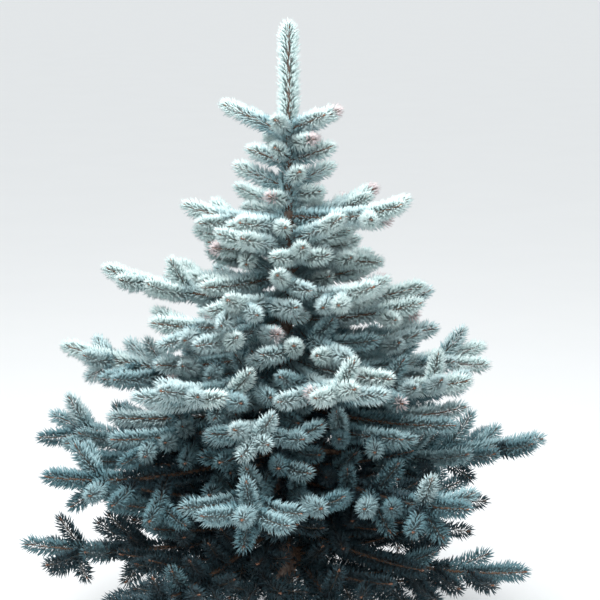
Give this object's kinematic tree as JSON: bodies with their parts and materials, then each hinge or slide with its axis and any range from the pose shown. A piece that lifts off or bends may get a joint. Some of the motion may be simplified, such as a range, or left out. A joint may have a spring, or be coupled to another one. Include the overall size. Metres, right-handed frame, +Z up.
{
  "type": "young colorado blue spruce tree",
  "caption": "Young blue spruce growing in the ground: tapering trunk with root flare, whorled boughs and frosty blue-green bottlebrush foliage up to its leader.",
  "frame": {"origin": "centre of the flat cut under the trunk, at ground level", "axes": "+Z up along the trunk to the leader, -Y towards the viewer of the picture, +X to the viewer's right"},
  "size_m": [0.9181, 0.8442, 1.12],
  "materials": {
    "bark": "rough scaly bark",
    "frosted_needles": "waxy matt, pale frosty blue",
    "blue_needles": "waxy matt, blue-green",
    "shaded_needles": "waxy matt, deep teal"
  },
  "bodies": {
    "root": {"interwhorl1_spray1": "frosted_needles", "interwhorl1_spray2": "frosted_needles", "interwhorl1_spray3": "frosted_needles", "interwhorl1_spray4": "frosted_needles", "interwhorl2_spray1": "frosted_needles", "interwhorl2_spray2": "frosted_needles", "interwhorl2_spray3": "frosted_needles", "interwhorl3_spray1": "frosted_needles", "interwhorl3_spray2": "frosted_needles", "interwhorl3_spray3": "frosted_needles", "interwhorl4_spray1": "blue_needles", "interwhorl4_spray2": "blue_needles", "interwhorl4_spray3": "blue_needles", "leader_spray": "frosted_needles", "trunk": "bark", "whorl1_spray1": "frosted_needles", "whorl1_spray2": "frosted_needles", "whorl1_spray3": "frosted_needles", "whorl1_spray4": "frosted_needles", "whorl1_spray5": "frosted_needles", "whorl2_spray1": "frosted_needles", "whorl2_spray2": "frosted_needles", "whorl2_spray3": "frosted_needles", "whorl2_spray4": "frosted_needles", "whorl2_spray5": "frosted_needles", "whorl3_spray1": "blue_needles", "whorl3_spray2": "blue_needles", "whorl3_spray3": "blue_needles", "whorl3_spray4": "blue_needles", "whorl3_spray5": "blue_needles", "whorl4_spray1": "blue_needles", "whorl4_spray2": "blue_needles", "whorl4_spray3": "blue_needles", "whorl4_spray4": "blue_needles", "whorl4_spray5": "blue_needles", "whorl4_spray6": "blue_needles", "whorl5_bough1": "bark", "whorl5_bough2": "bark", "whorl5_bough3": "bark", "whorl5_bough4": "bark", "whorl5_bough5": "bark", "whorl5_bough6": "bark", "whorl5_spray1": "shaded_needles", "whorl5_spray2": "shaded_needles", "whorl5_spray3": "shaded_needles", "whorl5_spray4": "shaded_needles", "whorl5_spray5": "shaded_needles", "whorl5_spray6": "shaded_needles", "whorl6_bough1": "bark", "whorl6_bough2": "bark", "whorl6_bough3": "bark", "whorl6_bough4": "bark", "whorl6_bough5": "bark", "whorl6_bough6": "bark", "whorl6_spray1": "shaded_needles", "whorl6_spray2": "shaded_needles", "whorl6_spray3": "shaded_needles", "whorl6_spray4": "shaded_needles", "whorl6_spray5": "shaded_needles", "whorl6_spray6": "shaded_needles"}
  },
  "joints": []
}
